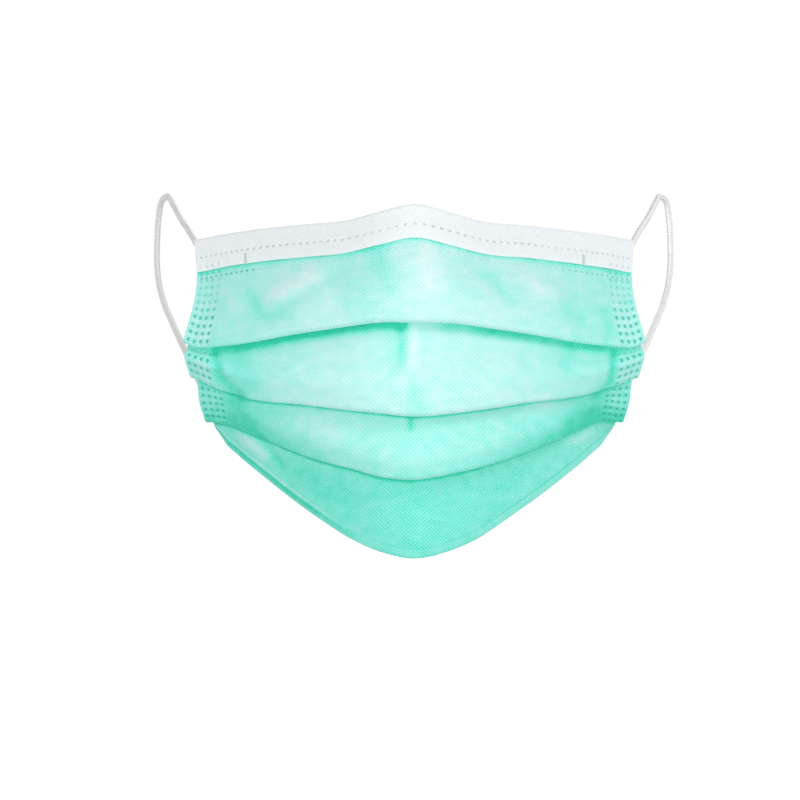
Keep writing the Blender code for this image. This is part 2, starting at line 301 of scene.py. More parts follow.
# %% [markdown]
# The elastic is a fine tube of knitted stitches round rubber threads. Seen close, it shows rows
# of small chevrons. The mesh carries the ribs, and a wave in the material gives the stitches
# between them, with a painted shade in the seams and a painted highlight on the raised stitches.
# White textile elastic is matt, with a little sheen from its fine yarn.

# %% Elastic material
def elastic_look():
    """Make the white knitted elastic."""
    recipe = Recipe("knitted_elastic", 0.78, sheen=0.2)
    around, along, _ = recipe.parts("yarn")
    chevron = recipe.math("ABSOLUTE", recipe.less(recipe.math("FRACT", around), 0.5))
    wave = recipe.math("SINE", recipe.times(recipe.add(along, chevron), 2 * np.pi))
    stitch = recipe.between(wave, -0.9, 0.8)
    seam = recipe.between(chevron, 0.30, 0.5)
    fuzz = recipe.streaks("yarn", (4.0, 1.5, 1.0), 3.0, 0.6)
    height = recipe.add(recipe.times(stitch, 0.6), recipe.times(fuzz, 0.4))
    recipe.relief(recipe.less(height, recipe.times(seam, 0.5)), 0.00012)
    # Painted shade in the seams and a painted highlight on the raised stitches, over a random fuzz.
    tone = recipe.add(recipe.times(stitch, 0.35), recipe.less(fuzz, recipe.times(seam, 0.45)))
    return recipe.finish(recipe.ramp(tone, ((0.0, (0.70, 0.71, 0.72)), (0.45, (0.86, 0.87, 0.87)),
                                            (1.0, (0.94, 0.94, 0.94)))))


elastic = elastic_look()

# %% [markdown]
# The section is a soft oval with six ribs. Each ring of the tube is set square to the route, and
# the frames are carried along from ring to ring, so that the ribs don't twist suddenly.

# %% Ear loops
LOOP_HALF_WIDE = 0.00108
LOOP_HALF_THIN = 0.00092
LOOP_SIDES = 24
LOOP_RIBS = 6
RIB_HEIGHT = 0.00006
STITCH_LENGTH = 0.0011


def carried_frames(route, first):
    """Return two square directions at each point, carried along the route without twist."""
    ways = unit(np.gradient(route, axis=0))
    wides = [np.array(first)]
    for way in ways:
        wides.append(unit(wides[-1] - way * np.dot(way, wides[-1])))
    wides = np.array(wides[1:])
    return wides, np.cross(ways, wides)


def end_faces(ring, centre, backwards=False):
    """Return the quads that close one end of the tube round its centre."""
    quads = [(centre, ring + corner, ring + corner + 1, ring + (corner + 2) % LOOP_SIDES)
             for corner in range(0, LOOP_SIDES, 2)]
    return [(quad[0], *quad[:0:-1]) for quad in quads] if backwards else quads


def ear_loop(name, side):
    """Make one loop of knitted elastic with closed ends."""
    route = loop_route(side)
    wide, thin = carried_frames(route, (0.3 * side, 0.0, 1.0))
    angle = np.linspace(0.0, 2 * np.pi, LOOP_SIDES, endpoint=False)
    along = distance_along(route)[:, None] / STITCH_LENGTH
    rib = np.cos(LOOP_RIBS * angle) * RIB_HEIGHT
    stitch = np.cos(2 * np.pi * along + LOOP_RIBS * angle) * RIB_HEIGHT / 2
    grow = 1.0 + (rib + stitch) / LOOP_HALF_WIDE
    rings = (route[:, None] + wide[:, None] * (grow * np.cos(angle) * LOOP_HALF_WIDE)[:, :, None]
             + thin[:, None] * (grow * np.sin(angle) * LOOP_HALF_THIN)[:, :, None])
    points = np.concatenate((rings.reshape(-1, 3), route[[0, -1]]))
    ends = len(points) - 2
    faces = np.concatenate((grid_faces(len(route), LOOP_SIDES, closed=True), end_faces(0, ends),
                            end_faces(ends - LOOP_SIDES, ends + 1, backwards=True)))
    yarn = per_point(angle * LOOP_RIBS / (2 * np.pi), along, 0.0).reshape(-1, 3)
    yarn = np.concatenate((yarn, [(0.0, 0.0, 0.0), (0.0, along[-1, 0], 0.0)]))
    return mesh_piece(name, points, faces, elastic, {"yarn": yarn}, crease_angle=1.2), route


SIDES = (("left", -1), ("right", 1))
loops = {side: ear_loop(f"knitted_loop_{name}", side) for name, side in SIDES}

# %% [markdown]
# ## The lines of the mask
#
# Five lines cross the cloth: the top edge, three folds and the bottom edge. The tables are those
# of the solid model, so the cloth of this lesson lies where the solid does. The width is a share
# of half the mask's width, front and side say how far back the line lies at its middle and its
# ends, round how wide its nose is, and flare how far the cloth leans outwards at its ends.

# %% Lines of the mask
MASK_HEIGHT = 0.1102
HALF_WIDTH = 0.0732
MASK_DEPTH = 0.0480
DROP_AT = (-1.0, -0.96, -0.9, -0.75, -0.5, -0.3, -0.15, 0.0, 0.15, 0.3, 0.5, 0.75, 0.9, 0.96, 1.0)
Line = namedtuple("Line", "name width front side round flare drops")
LINES = (
    Line("top_edge", 0.953, 0.00, 0.98, 0.22, -0.17,
         (0.090, 0.086, 0.079, 0.066, 0.053, 0.043, 0.020, 0.0,
          0.021, 0.046, 0.055, 0.070, 0.081, 0.087, 0.091)),
    Line("first_fold", 1.000, -0.40, 0.56, 0.34, 0.25,
         (0.380, 0.392, 0.393, 0.384, 0.356, 0.337, 0.326, 0.326,
          0.328, 0.339, 0.358, 0.384, 0.393, 0.392, 0.380)),
    Line("second_fold", 0.963, -0.38, 0.62, 0.48, 0.0,
         (0.480, 0.490, 0.508, 0.540, 0.559, 0.574, 0.584, 0.593,
          0.585, 0.573, 0.553, 0.532, 0.504, 0.489, 0.481)),
    Line("third_fold", 0.902, -0.26, 0.84, 0.50, 0.12,
         (0.608, 0.610, 0.615, 0.648, 0.707, 0.739, 0.763, 0.770,
          0.756, 0.736, 0.700, 0.640, 0.604, 0.608, 0.608)),
    Line("bottom_edge", 0.853, 0.06, 0.92, 0.50, 0.20,
         (0.636, 0.676, 0.708, 0.777, 0.881, 0.951, 0.985, 1.0,
          0.983, 0.949, 0.876, 0.775, 0.706, 0.674, 0.636)),
)
CLOTH_WALL = 0.0010
BINDING_WALL = 0.0010
LAYER_GAP = 0.0003
BINDING_DROP = 0.0098
BINDING_REACH = CLOTH_WALL / 2 + LAYER_GAP + BINDING_WALL / 2
NOSE_SLOPE = -LINES[1].front * MASK_DEPTH / (LINES[1].drops[len(DROP_AT) // 2] * MASK_HEIGHT)
SEAT_DEPTH = (BINDING_REACH + BINDING_WALL / 2) * np.hypot(1.0, NOSE_SLOPE)
NOSE_TOP = np.array((0.0, BINDING_DROP / 2 * NOSE_SLOPE - SEAT_DEPTH, BINDING_DROP / 2))
CURVE_SAMPLES = 400


def line_curve(line):
    """Return one line as closely spaced points, and how far along it each lies."""
    share = np.linspace(-1.0, 1.0, CURVE_SAMPLES + 1)
    rise = (np.hypot(share, line.round) - line.round) / (np.hypot(1.0, line.round) - line.round)
    points = np.stack((
        share * line.width * HALF_WIDTH,
        (line.front + (line.side - line.front) * rise) * MASK_DEPTH,
        -smooth_through(DROP_AT, line.drops, share) * MASK_HEIGHT,
    ), axis=1) + NOSE_TOP
    return points, distance_along(points)


def line_points(line, stations):
    """Return the points of one line at the stations, even shares of its own length."""
    points, length = line_curve(line)
    middle = length[CURVE_SAMPLES // 2]
    at = np.where(stations < 0, middle * (1 + stations), middle + (length[-1] - middle) * stations)
    return np.stack([np.interp(at, length, points[:, axis]) for axis in range(3)], axis=1)


def half_length(line):
    """Return half the length of a line, along the cloth."""
    return line_curve(line)[1][-1] / 2


for line in LINES:
    print(f"{line.name}: {2000 * half_length(line):.0f} mm along the cloth")

# %% [markdown]
# ## The run of the cloth
#
# The cloth runs down behind the binding, over each pleat, back up behind it and down again, and
# at the bottom edge it turns up inside as a hem. Cloth simulation could fold a flat sheet, but
# the pleats of a real mask are set by welded sides, so the folds are drawn directly: each row of
# points goes across the mask, and many rows follow each other down the cloth. Each row also
# remembers which way is out, and how far down the flat cloth it was.

# %% Steps down the cloth
SIDE_WELD_WIDTH = 0.0100
HEM_SHARE = 0.30
OPEN_SPREAD = 0.0028
TIGHT_SPREAD = CLOTH_WALL + LAYER_GAP
MIDDLE_OVERLAP = 0.0034
SIDE_OVERLAP = 0.0064
BOUND_ROWS = 10
PANEL_ROWS = {"nose": 42, "cheeks": 44, "mouth": 32, "chin": 34}
LAYER_ROWS = {"front": 8, "middle": 4, "back": 4}
FOLD_ROWS = 7
HEM_ROWS = 12


def run(start, start_way, end, end_way, shares):
    """Return a row for each share of a soft curve that keeps its ways at both ends."""
    reach = np.linalg.norm(end - start, axis=1, keepdims=True)
    return [start * (2 * t**3 - 3 * t**2 + 1) + end * (3 * t**2 - 2 * t**3)
            + reach * (start_way * (t**3 - 2 * t**2 + t) + end_way * (t**3 - t**2))
            for t in shares]


def straight(start, way, length, count):
    """Return rows along a straight stretch, without its first."""
    return [start + way * length * (step / count) for step in range(1, count + 1)]


def turn(centre, out, way, radius, count):
    """Return rows round half a circle, from the side `out` past `way`, without its first."""
    angles = [np.pi * step / count for step in range(1, count + 1)]
    return [centre + radius * (out * np.cos(angle) + way * np.sin(angle)) for angle in angles]


# %% The folded cloth
class FoldedCloth:
    """Rows of points down the middle of the cloth, one point for each station across it."""

    def __init__(self, stations):
        self.stations = stations
        self.rows, self.out, self.zone, self.sense = [], [], [], []
        self.lines = [line_points(line, stations) for line in LINES]
        self.across = [unit(np.gradient(points, axis=0)) for points in self.lines]
        self.down = []
        for index, line in enumerate(LINES):
            above = self.lines[max(index - 1, 0)]
            below = self.lines[min(index + 1, len(LINES) - 1)]
            lean = np.outer(line.flare * stations**3, (1.0, 0.0, 0.0))
            self.down.append(unit(unit(below - above) + lean))
        self.front = [unit(np.cross(way, side)) for way, side in zip(self.down, self.across)]
        weld = SIDE_WELD_WIDTH / half_length(LINES[0])
        open_share = np.clip(1.0 - np.abs(stations) / (1.0 - weld), 0.0, 1.0)[:, None]
        ease = np.sin(open_share * np.pi / 2)
        self.spread = TIGHT_SPREAD + (OPEN_SPREAD - TIGHT_SPREAD) * ease
        self.overlap = SIDE_OVERLAP + (MIDDLE_OVERLAP - SIDE_OVERLAP) * ease

    def lay(self, rows, zone, out=None, sense=1):
        """Add rows. `out` is their outward way, and sense says if they run down, up or round."""
        self.rows += rows
        self.out += [out] * len(rows)
        self.zone += [zone] * len(rows)
        self.sense += [sense] * len(rows)

    def lay_top(self):
        """Run from the top edge down behind the binding and over the nose."""
        self.top_run = (self.lines[0], self.down[0], *self.pleat_start(1))
        drop = self.top_run[0][:, 2:] - self.top_run[2][:, 2:]
        self.top_share = BINDING_DROP / drop
        steps = PANEL_ROWS["nose"]
        bound = [self.top_share * step / BOUND_ROWS for step in range(BOUND_ROWS + 1)]
        free = [self.top_share + (1 - self.top_share) * step / steps
                for step in range(1, steps + 1)]
        self.lay(run(*self.top_run, bound), "bound")
        self.lay(run(*self.top_run, free), "nose")

    def pleat_centre(self, index):
        """Return the middle of a pleat's lower fold."""
        return self.lines[index] - self.down[index] * (self.spread + CLOTH_WALL) / 2

    def pleat_start(self, index):
        """Return where the panel above a pleat starts to lie flat on it, and its way there."""
        start = self.pleat_centre(index) + self.front[index] * self.spread / 2
        return start - self.down[index] * self.overlap, self.down[index]

    def lay_pleat(self, index, above, below):
        """Run down over a pleat, back up behind it and down again behind that."""
        way, front = self.down[index], self.front[index]
        centre = self.pleat_centre(index)
        radius = self.spread / 2
        self.lay(straight(self.rows[-1], way, self.overlap, LAYER_ROWS["front"]), above, front)
        self.lay(turn(centre, front, way, radius, FOLD_ROWS), "fold", front, 0)
        self.lay(straight(self.rows[-1], -way, self.overlap, LAYER_ROWS["middle"]), "hidden",
                 front, -1)
        upper = centre - way * self.overlap - front * 2 * radius
        self.lay(turn(upper, front, -way, radius, FOLD_ROWS), "hidden", front, 0)
        self.lay(straight(self.rows[-1], way, self.overlap, LAYER_ROWS["back"]), below, front)

    def lay_panel(self, index, name):
        """Run from one pleat to the next."""
        end, end_way = self.pleat_start(index + 1)
        start_way = unit(self.lines[index + 1] - self.lines[index])
        shares = [step / PANEL_ROWS[name] for step in range(1, PANEL_ROWS[name] + 1)]
        self.lay(run(self.rows[-1], start_way, end, end_way, shares), name)

    def lay_bottom(self):
        """Run from the last pleat to the bottom edge, and turn the hem up behind it."""
        start = self.rows[-1]
        way, front = self.down[-1], self.front[-1]
        steps = PANEL_ROWS["chin"]
        end = self.lines[-1] - way * (TIGHT_SPREAD + CLOTH_WALL) / 2
        self.bottom_run = (start, unit(end - start), end, way)
        free = [(1 - HEM_SHARE) * step / steps for step in range(1, steps + 1)]
        held = [1 - HEM_SHARE * (1 - step / HEM_ROWS) for step in range(1, HEM_ROWS + 1)]
        self.lay(run(*self.bottom_run, free), "chin")
        self.lay(run(*self.bottom_run, held), "chin")
        first = len(self.rows) - 1 - HEM_ROWS
        hem = [row - front * TIGHT_SPREAD for row in reversed(self.rows[first:-1])]
        fold = self.rows[-1] - front * TIGHT_SPREAD / 2
        self.lay(turn(fold, front, way, TIGHT_SPREAD / 2, FOLD_ROWS), "fold", front, 0)
        self.lay(hem, "hem", front, -1)

    def build(self):
        """Lay every stretch, then work out the outward ways and the flat places."""
        self.lay_top()
        self.lay_pleat(1, "nose", "cheeks")
        self.lay_panel(1, "cheeks")
        self.lay_pleat(2, "cheeks", "mouth")
        self.lay_panel(2, "mouth")
        self.lay_pleat(3, "mouth", "chin")
        self.lay_bottom()
        self.middle = np.array(self.rows)
        self.facing = facing_of(self.middle)
        self.outward = np.array([facing if out is None else out
                                 for facing, out in zip(self.facing, self.out)])
        steps = np.linalg.norm(np.diff(self.middle, axis=0), axis=2)
        self.flat_down = np.vstack((np.zeros(len(self.stations)), np.cumsum(steps, axis=0)))
        edge = np.r_[0:4, -4:0]
        signed = steps[:, edge].mean(axis=1) * np.array(self.sense[1:])
        self.weld_down = np.concatenate(([0.0], np.cumsum(signed)))
        return self


# %% Stations across the cloth
WELD_STATIONS = 24
OPEN_STATIONS = 98


def cloth_stations():
    """Return the stations: close together in the welded sides and further apart between them."""
    weld = 1.06 * SIDE_WELD_WIDTH / half_length(LINES[0])
    left = np.linspace(-1.0, weld - 1.0, WELD_STATIONS + 1)
    middle = np.linspace(weld - 1.0, 1.0 - weld, OPEN_STATIONS + 1)
    return np.concatenate((left[:-1], middle, -left[-2::-1]))


cloth = FoldedCloth(cloth_stations()).build()
print(f"{cloth.middle.shape[0]} rows of {cloth.middle.shape[1]} points,",
      f"{1000 * cloth.flat_down[-1].mean():.0f} mm of cloth from the top edge to the hem")

# %% [markdown]
# ## Softness: creases, hollows and welds
#
# Worn cloth is never a smooth shell. It sinks beside the nose, pulls into soft creases towards
# the cheeks, and puckers where the pleats run into the welded sides. Each such form is given by
# the places of its two ends on the front of the mask in millimetres, its width and its height,
# and it fades out towards its ends. The same amount moves all the layers at one place, so they
# never pass through each other.

# %% Soft forms
Crease = namedtuple("Crease", "name x0 z0 x1 z1 width height")
CREASES = [Crease(*form) for form in (
    ("left_of_nose", -11.6, -6.0, -7.4, -20.4, 3.2, -0.50),
    ("left_nose_top", -17.0, -7.5, -9.5, -4.0, 2.0, -0.50),
    ("left_nose_wall", -23.0, -11.0, -15.5, -27.0, 8.0, -0.40),
    ("left_flank", -14.5, -7.5, -12.5, -13.5, 3.0, -0.35),
    ("down_the_nose", 4.2, -7.0, 3.8, -22.0, 2.8, 0.45),
    ("right_nose_wall", 15.0, -13.0, 18.0, -25.0, 5.5, -0.15),
    ("left_cheek_upper", -26.4, -16.0, -44.2, -28.0, 2.3, -0.45),
    ("left_cheek_pad", -29.5, -16.5, -43.5, -22.5, 3.4, 0.60),
    ("left_cheek_side", -52.4, -21.3, -47.3, -29.3, 2.4, -0.45),
    ("left_cheek_lower", -47.3, -29.3, -38.5, -29.0, 2.0, -0.25),
    ("left_corner_pad", -57.0, -22.0, -57.6, -27.0, 2.4, 0.25),
    ("right_cheek_upper", 21.0, -14.5, 31.0, -24.0, 3.0, -0.45),
    ("right_cheek_pad", 35.5, -17.5, 44.0, -23.0, 2.8, 0.40),
    ("right_cheek_lower", 46.0, -24.5, 53.5, -30.5, 2.8, -0.35),
    ("right_cheek_side", 60.4, -26.5, 61.4, -35.5, 2.2, -0.40),
    ("left_of_middle", -4.1, -29.5, -3.9, -44.5, 1.5, -0.85),
    ("left_of_middle_slope", -6.8, -33.5, -6.6, -44.5, 2.8, -0.30),
    ("middle_ridge", -0.4, -30.5, -0.4, -46.0, 1.9, 0.45),
    ("above_second_fold", -0.8, -50.0, 1.4, -59.0, 2.3, -0.40),
    ("under_middle", -1.3, -59.5, -1.2, -64.5, 1.1, -0.90),
    ("left_pucker", -63.6, -39.0, -61.8, -48.5, 1.6, -0.90),
    ("left_pucker_lower", -61.8, -48.0, -54.5, -54.3, 1.7, -0.80),
    ("left_side_hollow", -57.0, -41.0, -51.0, -52.0, 5.0, -0.40),
    ("left_corner_hollow", -58.5, -55.0, -50.5, -63.0, 3.2, -0.45),
    ("right_pucker", 63.2, -39.5, 62.4, -49.5, 1.4, -0.90),
    ("right_pucker_lower", 62.0, -49.5, 57.5, -53.5, 1.6, -0.70),
    ("right_cheek_dent", 48.6, -38.0, 47.4, -45.5, 2.3, -0.35),
    ("right_corner_hollow", 58.7, -56.1, 48.0, -62.0, 3.0, -0.40),
    ("mouth_left_pad", -36.0, -60.5, -24.0, -66.0, 4.0, 0.35),
    ("mouth_right_pad", 36.0, -57.0, 46.0, -56.5, 2.8, 0.40),
    ("chin_left_leaf", -54.8, -65.8, -46.5, -73.0, 2.1, 0.75),
    ("chin_left_dent", -48.6, -66.5, -41.0, -77.5, 1.3, -0.45),
    ("chin_right_leaf", 50.0, -68.5, 56.5, -65.0, 1.8, 0.55),
    ("chin_left_hollow", -38.0, -77.0, -20.0, -88.0, 4.5, -0.30),
    ("chin_right_hollow", 38.0, -73.0, 24.0, -86.0, 4.5, -0.15),
)]


def crease_height(x, z):
    """Return how far the soft forms raise the cloth at a place on the front, in millimetres."""
    total = np.zeros_like(x)
    for crease in CREASES:
        start = np.array((crease.x0, crease.z0))
        way = np.array((crease.x1, crease.z1)) - start
        length = np.hypot(*way)
        along = ((x - start[0]) * way[0] + (z - start[1]) * way[1]) / length**2
        aside = ((x - start[0]) * way[1] - (z - start[1]) * way[0]) / length
        over = np.maximum(0.0, np.abs(along - 0.5) - 0.35) * length
        beyond = over / (0.15 * length + crease.width)
        total += crease.height * np.exp(-(aside / crease.width)**2 - 2 * beyond**2)
    return total


def sway(x, z):
    """Return the low swells of thin cloth that hangs between its folds, in millimetres."""
    return (0.16 * np.sin(x / 6.1 + z / 9.7 + 0.4) * np.sin(z / 5.3 - x / 13.0)
            + 0.10 * np.sin(x / 3.7 - z / 4.9 + 1.9) * np.sin(x / 8.3 + z / 7.1)
            + 0.07 * np.sin(x / 2.3 + z / 3.1) * np.cos(x / 5.9 - z / 2.9 + 0.8))


# %% [markdown]
# The sides are closed by ultrasonic welding: a wheel with small square teeth presses the layers
# together in a grid of dots. The binding and the cloth below it are held by single rows of such
# dots. The side dots and the binding's row are real dents in the mesh, the cloth's row is only in
# its material, and the materials read the same places, so that colour and shape agree.

# %% Welded dots
DOT_COLUMNS = 4
COLUMN_PITCH = 2.7
ROW_PITCH = 2.65
FIRST_DOT_COLUMN = 1.7
DOT_HALF = 0.54
DOT_DEPTH = 0.26
LINE_PITCH = 2.75
END_LINE_PITCH = 2.25
STOP_AT = 0.0530
ROW_DOT_HALF = 0.46
BOUND_LENGTH = 1000 * cloth.weld_down[BOUND_ROWS]
LOWER_WELD_LINE = BOUND_LENGTH + 2.6
TOP_HALF = 1000 * half_length(LINES[0])


def side_dots(edge, down):
    """Return 1 in the middle of each side dot and 0 between them, from places in mm."""
    column = (edge - FIRST_DOT_COLUMN) / COLUMN_PITCH
    row = down / ROW_PITCH
    aside = (column - np.clip(np.round(column), 0, DOT_COLUMNS - 1)) * COLUMN_PITCH
    near = np.hypot(aside, (row - np.round(row)) * ROW_PITCH)
    return np.clip(1.7 - near / DOT_HALF, 0.0, 1.0)


def stop_distance():
    """Return how far along the top edge from its middle the stop marks stand, in mm."""
    points, length = line_curve(LINES[0])
    middle = CURVE_SAMPLES // 2
    return 1000 * np.interp(STOP_AT, points[middle:, 0], length[middle:] - length[middle])


def line_phase(across):
    """Return how many dots of a welded row lie between the middle and a place, both in mm."""
    stop = stop_distance()
    away = np.abs(across)
    return np.where(away < stop, away / LINE_PITCH,
                    stop / LINE_PITCH + (away - stop) / END_LINE_PITCH)


def dotted(across, down, line_at):
    """Return the dots of a welded row, each a small round dent, from 0 to 1."""
    phase = line_phase(across)
    pitch = np.where(np.abs(across) < stop_distance(), LINE_PITCH, END_LINE_PITCH)
    aside = (phase - np.round(phase)) * pitch
    near = np.hypot(aside, down - line_at)
    return np.clip(1.7 - near / ROW_DOT_HALF, 0.0, 1.0)


def row_place(across, down, line_at, clear):
    """Return a point's place against a welded row: dots passed, distance off, and clearness."""
    return per_point(line_phase(across), down - line_at, clear)


across_mm = cloth.stations * TOP_HALF
edge_mm = TOP_HALF - np.abs(across_mm)
weld_mm = 1000 * cloth.weld_down
x_mm, z_mm = 1000 * cloth.middle[:, :, 0], 1000 * cloth.middle[:, :, 2]
inside = np.clip((edge_mm - 10.0) / 8.0, 0.0, 1.0)
height_mm = 0.8 * crease_height(x_mm, z_mm) + sway(x_mm, z_mm) * inside
quiet = np.array([0.25 if zone == "bound" else 1.0 for zone in cloth.zone])
below_binding = np.clip((weld_mm - BOUND_LENGTH) / 6.0, 0.0, 1.0)
height_mm *= (quiet * below_binding)[:, None]
bottom_row = max(index for index, zone in enumerate(cloth.zone) if zone == "chin")
above_bottom = 1000 * (cloth.flat_down[bottom_row] - cloth.flat_down)
height_mm *= np.clip(0.15 + np.abs(above_bottom) / 6.0, 0.0, 1.0)
last_fold = max(index for index, zone in enumerate(cloth.zone) if zone == "mouth")
dotted_part = np.clip((weld_mm[last_fold] + 0.6 - weld_mm) / 0.5, 0.0, 1.0)[:, None]
height_mm -= DOT_DEPTH * side_dots(edge_mm, weld_mm[:, None]) * dotted_part
print(f"soft forms from {height_mm.min():.2f} to {height_mm.max():.2f} mm")

# %% [markdown]
# ## Painted shade: green in the folds
#
# Dyed nonwoven looks pale where light falls on its fibre haze and deep green in shade, where light
# has passed through several layers, as in a fold or under an overhang. That shade is painted into
# the colour here: the mesh carries a painted shade, called depth, as one number per point, worked
# out from the shape: how close the point lies below a fold (a painted shadow), which panel it is
# in, the lower ones being shaded deeper, and whether it lies in a hollow (painted shade) or on a
# ridge (painted highlight).

# %% Painted shade (depth of colour)
# Painted shade for each panel: deeper on the lower panels, which face down, and on cloth that lies
# under the binding or hidden in a pleat.
PANEL_SHADE = {"bound": 0.75, "nose": 0.18, "cheeks": 0.22, "mouth": 0.38, "chin": 0.58,
               "fold": 0.22, "hidden": 0.9, "hem": 0.5}


def fading(gap, reach, power=2):
    """Return how a shade fades over its reach below a line. Above the line it is whole."""
    return np.exp(-(np.clip(gap, 0.0, None) / reach)**power)


def below_line(index):
    """Return how far each point lies below a line, seen from the front, in millimetres."""
    points, _ = line_curve(LINES[index])
    return 1000 * np.interp(cloth.middle[:, :, 0], points[:, 0], points[:, 2]) - z_mm


def shadow_under(index, reach, strength):
    """Return the painted shadow, deep green, just under a fold; strength is given across the mask.
    """
    gap = below_line(index)
    return np.interp(x_mm, *zip(*strength)) * fading(gap, reach, power=3) * (gap > -0.4)


def panel_mask(*names):
    """Return 1 for the rows of the named panels."""
    return np.array([float(zone in names) for zone in cloth.zone])[:, None]


# Each point starts with its panel's painted shade, deeper towards the sides except on the chin.
depth = np.array([PANEL_SHADE[zone] for zone in cloth.zone])[:, None] * np.ones_like(x_mm)
depth += 0.19 * np.clip((np.abs(x_mm) - 26.0) / 30.0, 0.0, 1.0) * (1.0 - panel_mask("chin"))
# Painted shadow in deep green just under each fold, its strength given across the mask, and a
# little more painted shade at the middle of the chin.
shadow_below_first = shadow_under(1, 2.7, ((-70, 0.1), (-63, 0.35), (-54, 0.75), (-20, 0.85), (-3.5, 0.85),
                                    (-1, 0.2), (4, 0.1), (8, 0.4), (25, 0.72), (46, 0.47),
                                    (58, 0.52), (64, 0.3), (70, 0.1)))
shadow_below_second = shadow_under(2, 0.7, ((-66, 0.3), (-50, 0.4), (-30, 0.45), (0, 0.65), (30, 0.55),
                                     (50, 0.3), (66, 0.2)))
shadow_below_third = shadow_under(3, 0.8, ((-60, 0.4), (-40, 0.65), (0, 0.65), (36, 0.25), (60, 0.3)))
depth += shadow_below_first * panel_mask("cheeks") + shadow_below_second * panel_mask("mouth")
depth += (shadow_below_third + 0.07 * np.clip(1.0 - np.abs(x_mm) / 34.0, 0.0, 1.0)) * panel_mask("chin")
# Painted shadow just below the lower edge of the binding.
below_strip = 1000 * (cloth.flat_down - cloth.flat_down[BOUND_ROWS])
depth += 0.34 * fading(below_strip, 1.5) * panel_mask("nose")
# Painted shade in the hollows of the soft forms and a painted highlight on their ridges, over their
# real relief.
depth -= 0.42 * np.clip(crease_height(x_mm, z_mm), -0.9, 0.8) * panel_mask(
    "nose", "cheeks", "mouth", "chin")
# The painted shade is also deeper on the mouth panel just above the third fold, most at the sides.
above_third = np.interp(x_mm, (-64, -55, -38, -15, 5, 20, 36, 56),
                        (0.3, 0.4, 0.25, 0.05, 0.1, 0.15, 0.32, 0.45))
depth += above_third * fading(-below_line(3), 4.0) * panel_mask("mouth")
depth = np.clip(depth, 0.0, 1.0)
for index, zone in enumerate(cloth.zone):
    if zone == "fold":
        depth[index] = depth[index - 1]
print(f"depth of colour from {depth.min():.2f} to {depth.max():.2f}")

# %% [markdown]
# ## The nonwoven cloths
#
# Spunbond cloth is a web of endless fibres, bonded by a fine grid of small points. Three things
# show up close: the fibres as short streaks in all directions, the bond points as tiny dents in
# a diamond grid, and a soft cloudiness where the web is thicker or thinner. All three come from
# noise and waves on the flat cloth, measured in millimetres, so they keep their size everywhere.

# %% Nonwoven materials
BOND_PITCH = 1.32
Web = namedtuple("Web", "bonds fibres clouds pressed")


def side_weld_dots(recipe):
    """Return the welded side dots, from 0 to 1."""
    edge, down, shown = recipe.parts("weld")
    column = recipe.math("DIVIDE", recipe.less(edge, FIRST_DOT_COLUMN), COLUMN_PITCH)
    nearest = recipe.math("MINIMUM", DOT_COLUMNS - 1.0, recipe.math(
        "MAXIMUM", 0.0, recipe.math("ROUND", column)))
    row = recipe.math("DIVIDE", down, ROW_PITCH)
    far = recipe.math("MAXIMUM", *[
        recipe.math("ABSOLUTE", recipe.times(recipe.less(number, whole), pitch))
        for number, whole, pitch in ((column, nearest, COLUMN_PITCH),
                                     (row, recipe.math("ROUND", row), ROW_PITCH))])
    return recipe.times(recipe.between(far, 1.2 * DOT_HALF, 0.8 * DOT_HALF), shown)


def row_dots(recipe):
    """Return the dots of a welded row, a little longer than they are high, from 0 to 1."""
    phase, off, clear = recipe.parts("row")
    aside = recipe.times(recipe.less(phase, recipe.math("ROUND", phase)), 0.75 * LINE_PITCH)
    far = recipe.math("SQRT", recipe.add(recipe.times(aside, aside), recipe.times(off, off)))
    return recipe.times(recipe.between(far, 1.25 * ROW_DOT_HALF, 0.75 * ROW_DOT_HALF), clear)


def nonwoven(name, roughness, marked=False):
    """Start a nonwoven with its relief. Its bonds, fibres, clouds and welds go from 0 to 1."""
    recipe = Recipe(name, roughness, sheen=0.15)
    u, v, _ = recipe.parts("flat")
    waves = [recipe.math("SINE", recipe.times(way, np.pi / BOND_PITCH))
             for way in (recipe.add(u, v), recipe.less(u, v))]
    bonds = recipe.between(recipe.math("ABSOLUTE", recipe.times(*waves)), 0.45, 0.85)
    fibres = recipe.times(0.5, recipe.add(*[
        recipe.streaks("flat", (0.5, 5.0, 1.0), 1.0, 0.65, turn) for turn in (0.7, 2.3)]))
    clouds = recipe.streaks("flat", (0.20, 0.26, 1.0), 1.0, 0.55)
    pressed = recipe.math("MAXIMUM", side_weld_dots(recipe), row_dots(recipe))
    if marked:
        pressed = recipe.math("MAXIMUM", pressed, recipe.value("stop_mark"))
    height = recipe.less(recipe.times(fibres, 0.8), recipe.times(bonds, 0.5))
    recipe.relief(recipe.less(height, recipe.times(pressed, 0.8)), 0.00009)
    return recipe, Web(bonds, fibres, clouds, pressed)


def white_look(name, colour, shade, marked=False):
    """Make an undyed nonwoven, for the binding with its stop marks or for the inner ply."""
    recipe, web = nonwoven(name, 0.85, marked)
    tone = recipe.add(recipe.times(web.clouds, 0.5), recipe.times(web.fibres, 0.5))
    base = recipe.ramp(recipe.less(tone, recipe.times(web.bonds, 0.12)),
                       ((0.2, shade), (0.7, colour)))
    return recipe.finish(recipe.blend(recipe.times(web.pressed, 0.55), base, (0.30, 0.44, 0.43)))


binding_white = white_look("binding_nonwoven", (0.89, 0.93, 0.95), (0.80, 0.87, 0.89), marked=True)
inner_white = white_look("inner_nonwoven", (0.86, 0.87, 0.87), (0.76, 0.79, 0.79))

